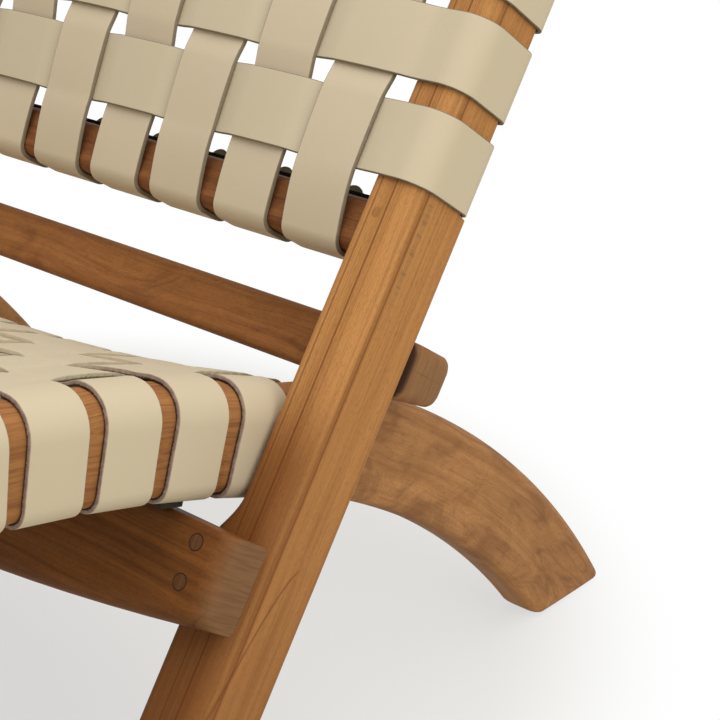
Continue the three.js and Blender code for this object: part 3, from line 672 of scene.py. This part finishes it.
for c, x in enumerate(back_columns):
    overs = [not row_over(row, c, back_columns) for row in range(BACK_ROWS)]
    rows = np.arange(BACK_ROWS) * back_step + BACK_STRAP_W / 2
    weave = over_under(rows, BACK_STRAP_W / 2, levels(WRAP, overs))
    rail = (rail_front - RAIL_D, rail_front, RAIL_R, RAIL_R, COLUMN_LEVEL)
    path = both_hooks(weave, (RAIL_MARGIN, RAIL_MARGIN + RAIL_H, *rail),
                      (rail_top, rail_top + RAIL_H, *rail))
    strap(f"back_column_strap_{c + 1}", path, BACK_STRAP_W,
          lambda up, front, w, x=x: on_back(x + w, up, front + weave_lift(x + w, up)),
          BACK_EDGE, "back_frame", f"back_column_{c + 1}", warm=0.7)

for row in range(SEAT_ROWS):
    angle = REAR_ROW_ANGLE + row * seat_step
    overs = [row_over(row, c, seat_columns) for c in range(len(seat_columns))]
    weave = over_under(seat_columns, SEAT_STRAP_W / 2, levels(-SEAT_SET, overs), sag)
    side = (side_in, side_out, -SEAT_D, 0, LEG_EDGE_R, SEAT_EDGE_R)
    strap(f"seat_row_strap_{row + 1}", both_hooks(weave, side, side), SEAT_STRAP_W,
          lambda x, above, w, a=angle: spread(x, on_seat(a, above, w)),
          SEAT_EDGE, "seat_frame", f"seat_row_{row + 1}")

for c, x in enumerate(seat_columns):
    edge = SEAT_STRAP_W / 2 + seat_gap * PAST_EDGE
    dip = float(sag(x - edge) + sag(x + edge)) / 2
    tilt = math.atan2(float(sag(x + edge) - sag(x - edge)), 2 * edge)
    overs = [not row_over(row, c, seat_columns) for row in range(SEAT_ROWS)]
    rows = (REAR_ROW_ANGLE + np.arange(SEAT_ROWS) * seat_step) * SEAT_R
    weave = over_under(rows, SEAT_STRAP_W / 2, levels(-SEAT_SET + dip, overs))
    low, high = cross_top - CROSS_H + dip, cross_top + dip

    def round_rail(angle, sign, start):
        own = np.array([sign * (start[0] - angle * SEAT_R), start[1]])
        bent = hook(own, -CROSS_D / 2, CROSS_D / 2, low, high, CROSS_R)
        return on_seat(angle, bent[:, 1], sign * bent[:, 0])

    path = np.concatenate([
        round_rail(rear_angle, -1, weave[0])[::-1], on_seat(weave[:, 0] / SEAT_R, weave[:, 1]),
        round_rail(front_angle, 1, weave[-1])])

    def lie(y, z, w):
        p = np.stack([y, z], -1)
        up = p - SEAT_AXIS
        up /= np.linalg.norm(up, axis=-1, keepdims=True)
        rise = np.broadcast_to(w * math.sin(tilt), y.shape)
        return spread(x + w * math.cos(tilt), p + up * rise[..., None])

    strap(f"seat_column_strap_{c + 1}", path, SEAT_STRAP_W, lie,
          COLUMN_EDGE, "seat_frame", f"seat_column_{c + 1}", inner=-1)

# Posts, wider on the inner side below the seat frame
for name, s in SIDES:
    rings, timber = [], []

    def ring(inset, wide, swell, up):
        p = round_rect(INNER_W / 2 - wide, HALF_W, -POST_D - swell, 0, POST_R, inset, POST_FRONT_R)
        height = up(p[:, 1]) if callable(up) else up
        rings.append(on_back(s * p[:, 0], height, p[:, 1]))
        timber.append(timber_at(height, p - (INNER_W / 2, 0)))

    for at, inset in end_round(POST_FOOT_R, 3):
        ring(inset, SHOULDER, SWELL,
             lambda front: (at - WEAVE_HEIGHT - front * math.sin(LEAN)) / math.cos(LEAN))
    for t in np.linspace(0, 1, 9):
        ring(0, SHOULDER * (1 - math.cos((1 - t) * math.pi / 2)), SWELL, stretcher_top + SHOULDER_L * t)
    for up, swell in ((-SWELL_L, SWELL), (-FIT, 0)):
        ring(0, 0, swell, up)
    for at, inset in end_round(POST_END_R, 5)[::-1]:
        ring(inset, 0, 0, post_top - at)
    wood(f"post_{name}", rings, timber, POST_TEAK, "back_frame", f"back_post_{name}")

# Rails, bar and stretcher of the back frame
for low, node in zip(rail_lows, ("back_bottom_rail", "back_top_rail")):
    p = round_rect(low, low + RAIL_H, rail_front - RAIL_D, rail_front, RAIL_R)
    xs = np.linspace(-INNER_W / 2 + FIT, INNER_W / 2 - FIT, 5)
    wood(f"{node}_timber", [on_back(x, p[:, 0], p[:, 1]) for x in xs], [timber_at(x, p) for x in xs],
         RAIL_TEAK, "back_frame", node)

rings, timber, ends = [], [], []
half_bar = [(HALF_W - 2 * BAR_TUCK, 0.0, 1.0)]
half_bar += [(HALF_W - at, inset, 1.0) for at, inset in end_round(BAR_END_R, 5)[::-1]]
half_bar += [(HALF_W, BAR_END_R, squeeze) for squeeze in (0.6, 0.2, 0.01)]
for x, inset, squeeze in [(-x, inset, squeeze) for x, inset, squeeze in half_bar[::-1]] + half_bar:
    p = round_rect(bar_low, bar_low + BAR_H, bar_back, bar_back + BAR_D,
                   BAR_R + inset * 0.9, inset, fill=7)
    share = (p[:, 1] - bar_back - BAR_R) / (BAR_D - 2 * BAR_R)
    p[:, 0] -= (bar_low + BAR_H - p[:, 0]) / BAR_H * (bar_low - bar_front_low) * share
    p[:, 0] = bar_low + BAR_H / 2 + (p[:, 0] - bar_low - BAR_H / 2) * squeeze
    tuck = corner(bar_back + BAR_D - p[:, 1], BAR_TUCK) * (abs(x) > HALF_W - BAR_END_R - 1)
    rings.append(on_back(x - math.copysign(1, x) * tuck, p[:, 0], p[:, 1]))
    timber.append(timber_at(x, p))
    # painted shade on the rounding that turns in towards the post
    painted_shade_behind = np.clip((tuck - 1) / 4, 0, 1)
    ends.append(min(1.0, inset / BAR_END_R * 1.4) * (1 - painted_shade_behind) + 2 * painted_shade_behind)
wood("rear_bar_timber", rings, timber, BAR_TEAK, "back_frame", "rear_bar", ends)

rings, timber, ends = [], [], []
stretcher_end = end_round(STRETCHER_END_R, 8)
stretcher_run = [(-HALF_W + at, inset) for at, inset in stretcher_end]
stretcher_run += [((HALF_W - STRETCHER_END_R) * k / 12, 0) for k in range(-11, 12)]
stretcher_run += [(HALF_W - at, inset) for at, inset in stretcher_end[::-1]]
for x, inset in stretcher_run:
    low = stretcher_top - STRETCHER_END_H - STRETCHER_BELLY * (1 - (x / HALF_W) ** 2)
    p = round_rect(-stretcher_top, -low, FIT, stretcher_front - inset, STRETCHER_R,
                   first=STRETCHER_LOW_R) * (-1, 1)
    rings.append(on_back(x, p[:, 0], p[:, 1]))
    timber.append(timber_at(x, p))
    ends.append(np.full(len(p), min(1.0, inset / STRETCHER_END_R * 1.6)))
wood("stretcher_timber", rings, timber, STRETCHER_TEAK, "back_frame", "front_stretcher",
     ends)

# Side rails that bend down into the legs
for name, s in SIDES:
    rings, timber, seat_shade_paint = [], [], []

    def ring(inset, slim, place, run):
        edge = LEG_EDGE_R + (SEAT_EDGE_R - LEG_EDGE_R) * slim
        p = round_rect(side_in, side_out, -LEG_D, -slim * (LEG_D - SEAT_D),
                       LEG_EDGE_R, inset, edge, fill=4)
        rings.append(spread(s * p[:, 0], place(p[:, 1] + LEG_D)))
        timber.append(timber_at(run, p))
        # painted shade on the seat part, easing out through the bend
        seat_shade_paint.append(np.full(len(p), slim * PAINTED_SEAT_SHADE))

    def on_leg(angle, h):
        return on_arc(LEG_AXIS, angle, LEG_R - LEG_D + h)

    def floor_angle(h, height):
        rocker = FOOT_LIFT * (2 * h / LEG_D - 1) ** 2
        rocker = rocker + corner(h, FOOT_FRONT_R) + corner(LEG_D - h, FOOT_REAR_R)
        return np.arcsin((height + rocker - LEG_AXIS[1]) / (LEG_R - LEG_D + h))

    nose_end, slim_end = nose_angle - NOSE_R / SEAT_R, BEND_ANGLE - BEND_L / LEG_R
    for at, inset in end_round(NOSE_R, 5):
        ring(inset, 1, lambda h: on_seat(nose_angle - at / SEAT_R, h - SEAT_D), nose_angle * SEAT_R - at)
    for angle in np.linspace(nose_end, BEND_ANGLE, 41)[1:]:
        ring(0, 1, lambda h: on_seat(angle, h - SEAT_D), angle * SEAT_R)
    run = BEND_ANGLE * SEAT_R
    for t in np.linspace(0, 1, 13)[1:]:
        ring(0, 1 - t * t * (3 - 2 * t), lambda h: on_leg(BEND_ANGLE + (slim_end - BEND_ANGLE) * t, h),
             run - t * BEND_L)
    run -= BEND_L
    leg_run = (slim_end - floor_angle(LEG_D / 2, FOOT_R)) * LEG_R
    for t in np.linspace(0, 1, 29)[1:-1]:
        ring(0, 0, lambda h: on_leg(slim_end + (floor_angle(h, FOOT_R) - slim_end) * t, h),
             run - t * leg_run)
    run -= leg_run
    for at, inset in end_round(FOOT_R, 6)[::-1]:
        ring(inset, 0, lambda h: on_leg(floor_angle(h, at), h), run - (FOOT_R - at))
    wood(f"leg_and_rail_{name}", rings, timber, LEG_TEAK, "seat_frame", f"seat_side_{name}",
         seat_shade_paint)

# Cross rails under the seat
for node, angle in (("seat_front_rail", front_angle), ("seat_rear_rail", rear_angle)):
    xs = np.linspace(-side_in + FIT, side_in - FIT, 33)
    p = round_rect(-CROSS_D / 2, CROSS_D / 2, cross_top - CROSS_H, cross_top, CROSS_R)
    wood(f"{node}_timber", [spread(x, on_seat(angle, p[:, 1] + sag(x), p[:, 0])) for x in xs],
         [timber_at(x, p) for x in xs], RAIL_TEAK, "seat_frame", node)


# Pins, pegs, strips, tacks and pads
def turned(name, profile, at, way, look, body, node=None, sides=28):
    """A round piece, made like the wooden ones. profile has distances along its axis, with the radius
    there, and 1 for end grain or 2 for the dark joint round it."""
    way = np.asarray(way, float) / np.linalg.norm(way)
    u = np.array([1.0, 0, 0]) - way * way[0]
    u /= np.linalg.norm(u)
    v = np.cross(way, u)
    t = np.linspace(0, 2 * math.pi, sides, endpoint=False)
    wheel = np.outer(np.cos(t), u) + np.outer(np.sin(t), v)
    rings = [at + way * d + wheel * r for d, r, _ in profile]
    timber = [np.stack([0 * t, r * np.cos(t), r * np.sin(t)], -1) for _, r, _ in profile]
    wood(name, rings, timber, look, body, node, np.repeat([end for *_, end in profile], sides))


rearward = on_back(0, 0, -1) - on_back(0, 0, 0)
pin_r, peg_r, tack_r = PIN_D / 2, PEG_D / 2, TACK_D / 2
pin_profile = [(-0.15, pin_r - 2, 1), (-0.1, pin_r - 0.9, 1), (-0.1, pin_r - 0.8, 2), (0, pin_r, 2),
               (PIN_L, pin_r, 2)]
peg_profile = [(-0.12, peg_r - 1, 1), (0, peg_r - 0.3, 1), (0.4, peg_r, 1), (1, peg_r, 1)]
tack_profile = [(TACK_H * math.sin(a) - TACK_SUNK, tack_r * math.cos(a), 0)
                for a in np.linspace(0, math.pi / 2 * 0.98, 8)]
for name, s in SIDES:
    for up, level in zip(pin_ups, ("upper", "lower")):
        turned(f"pin_{name}_{level}", pin_profile,
               on_back(s * (HALF_W - PIN_INSET), up, stretcher_front),
               rearward, PIN_TEAK, "back_frame", f"stretcher_pin_{name}_{level}")
    for low, level in zip(rail_lows, ("lower", "upper")):
        turned(f"peg_{name}_{level}", peg_profile,
               on_back(s * (HALF_W - PEG_INSET), low + RAIL_H - PEG_DROP, 0),
               rearward, PEG_TEAK, "back_frame")

strip_back = rail_front - RAIL_D - WRAP_FIT - STRAP_T - FIT - STRIP_T
tacks = np.r_[back_columns - TACK_OFF, back_columns + TACK_OFF]
for low, node, inside in ((-RAIL_MARGIN + STRIP_PROUD - STRIP_H, "back_bottom_strip", 1),
                          (rail_top - STRIP_PROUD, "back_top_strip", -1)):
    p = round_rect(low + STRIP_LOW, low + STRIP_H - STRIP_HIGH, strip_back, strip_back + STRIP_T,
                   STRIP_EDGE_R, steps=2)
    xs = np.linspace(-INNER_W / 2 + FIT, INNER_W / 2 - FIT, 3)
    points, faces = skin_over(np.array([on_back(x, p[:, 0], p[:, 1]) for x in xs]))
    put(f"{node}_tape", points, faces, [WEBBING], "back_frame", [node])
    brim = low + STRIP_H if inside > 0 else low
    for k, x in enumerate(tacks):
        turned(f"{node}_tack_{k + 1}", tack_profile,
               on_back(x, brim - inside * (tack_r - TACK_OVER), strip_back),
               rearward, PAINTED_LIGHT_BRONZE, "back_frame", sides=20)

edge_at = on_back(0, stretcher_top - STRETCHER_R, stretcher_front - STRETCHER_R)[1:] - (SHIFT, 0)
from_leg = math.atan2(*(edge_at - LEG_AXIS)[::-1])
from_seat = math.atan2(*(edge_at - SEAT_AXIS)[::-1])
rest_way = np.array([-math.sin(from_leg), math.cos(from_leg)])
rest_at = on_arc(LEG_AXIS, from_leg, LEG_R - LEG_D - PAD_T + FIT)
under = -SEAT_D - WRAP_FIT - STRAP_T - FIT
for name, s in SIDES:
    outline = np.array([rest_at - rest_way * PAD_BEHIND, rest_at + rest_way * PAD_AHEAD,
                        on_seat(from_seat, under, PAD_AHEAD), on_seat(from_seat, under, -PAD_BEHIND)])
    outline[:2] += (outline[:1:-1] - outline[:2]) * PAD_LIFT
    middle = outline.mean(0)
    soft = np.concatenate([
        [a + (middle - a) * PAD_SOFT, a + (b - a) * PAD_SOFT, b + (a - b) * PAD_SOFT]
        for a, b in zip(outline, np.roll(outline, -1, 0))])
    x0, x1 = side_out - LEG_EDGE_R - PAD_W, side_out - LEG_EDGE_R
    pad_run = ((x0, 1 - PAD_SOFT), (x0 + PAD_END, 1), (x1 - PAD_END, 1), (x1, 1 - PAD_SOFT))
    points, faces = skin_over(np.array(
        [spread(s * x, middle + (soft - middle) * k) for x, k in pad_run]))
    put(f"bearing_pad_{name}", points, faces, [WEBBING], "seat_frame", [f"seat_pad_{name}"],
        sharp=50)

# Floor, light and camera
FLOOR_HALF, FLOOR_Z = 9.0, -0.0005            # metres, as all sizes from here on
FLOOR_FADE, FLOOR_WHITE = (0.42, 0.57), 0.60  # where the floor turns white, and how white it is before
STUDIO_LIGHT = 0.48
PHOTO_AT = (0.99066, -0.60850, 0.67561)
PHOTO_TURN, PHOTO_RISE = math.radians(42.097), math.radians(23.095)
PHOTO_LENS, PHOTO_SENSOR = 85.475, 36.0       # millimetres

floor_look = Finish("pale floor")
away = floor_look.vector_maths("LENGTH", floor_look.spot(), output="Value")
white = floor_look.node("ShaderNodeEmission", {}, {"Color": (1, 1, 1), "Strength": 1.0})
floor_look.set(Base_Color=(0.64, 0.625, 0.53), Roughness=0.9)
floor_look.finish_with(
    (away.between(*FLOOR_FADE) * (1 - FLOOR_WHITE) + FLOOR_WHITE) * floor_look.seen(), white)
floor_mesh = bpy.data.meshes.new("floor")
floor_mesh.from_pydata([(FLOOR_HALF * x, FLOOR_HALF * y, FLOOR_Z) for x, y in (
    (-1, -1), (1, -1), (1, 1), (-1, 1))], [], [(0, 1, 2, 3)])
floor_mesh.materials.append(floor_look.material)
floor = add("floor", floor_mesh)

world = bpy.data.worlds.new("studio")
bpy.context.scene.world = world
sky = Finish("studio", world)
sky.set(Color=(1, 1, 1), Strength=STUDIO_LIGHT)
sky.finish_with(sky.seen(), sky.node("ShaderNodeBackground", {}, {"Color": (1, 1, 1), "Strength": 1.0}))


def aim(thing, at, way):
    thing.location = at
    thing.rotation_mode = "QUATERNION"
    thing.rotation_quaternion = way.to_track_quat("-Z", "Y")


def soft_box(name, at, target, size, power):
    lamp = bpy.data.lights.new(name, "AREA")
    lamp.shape, lamp.energy = "RECTANGLE", power
    lamp.size, lamp.size_y = size
    aim(add(name, lamp), at, Vector(target) - Vector(at))


soft_box("overhead box", at=(0.3, -0.2, 2.6), target=(0.1, 0.0, 0.4), size=(2.6, 2.6), power=42)
soft_box("side box", at=(2.6, -0.2, 1.4), target=(0.2, 0.0, 0.4), size=(1.6, 1.8), power=26)

camera = bpy.data.cameras.new("photo view")
camera.lens, camera.sensor_width, camera.sensor_fit = PHOTO_LENS, PHOTO_SENSOR, "HORIZONTAL"
camera.clip_start, camera.clip_end = 0.02, 60
viewer = add("photo view", camera)
reach = math.cos(PHOTO_RISE)
aim(viewer, PHOTO_AT, Vector((
    -math.sin(PHOTO_TURN) * reach, math.cos(PHOTO_TURN) * reach, -math.sin(PHOTO_RISE))))
bpy.context.scene.camera = viewer
bpy.context.scene.view_settings.view_transform = "Standard"
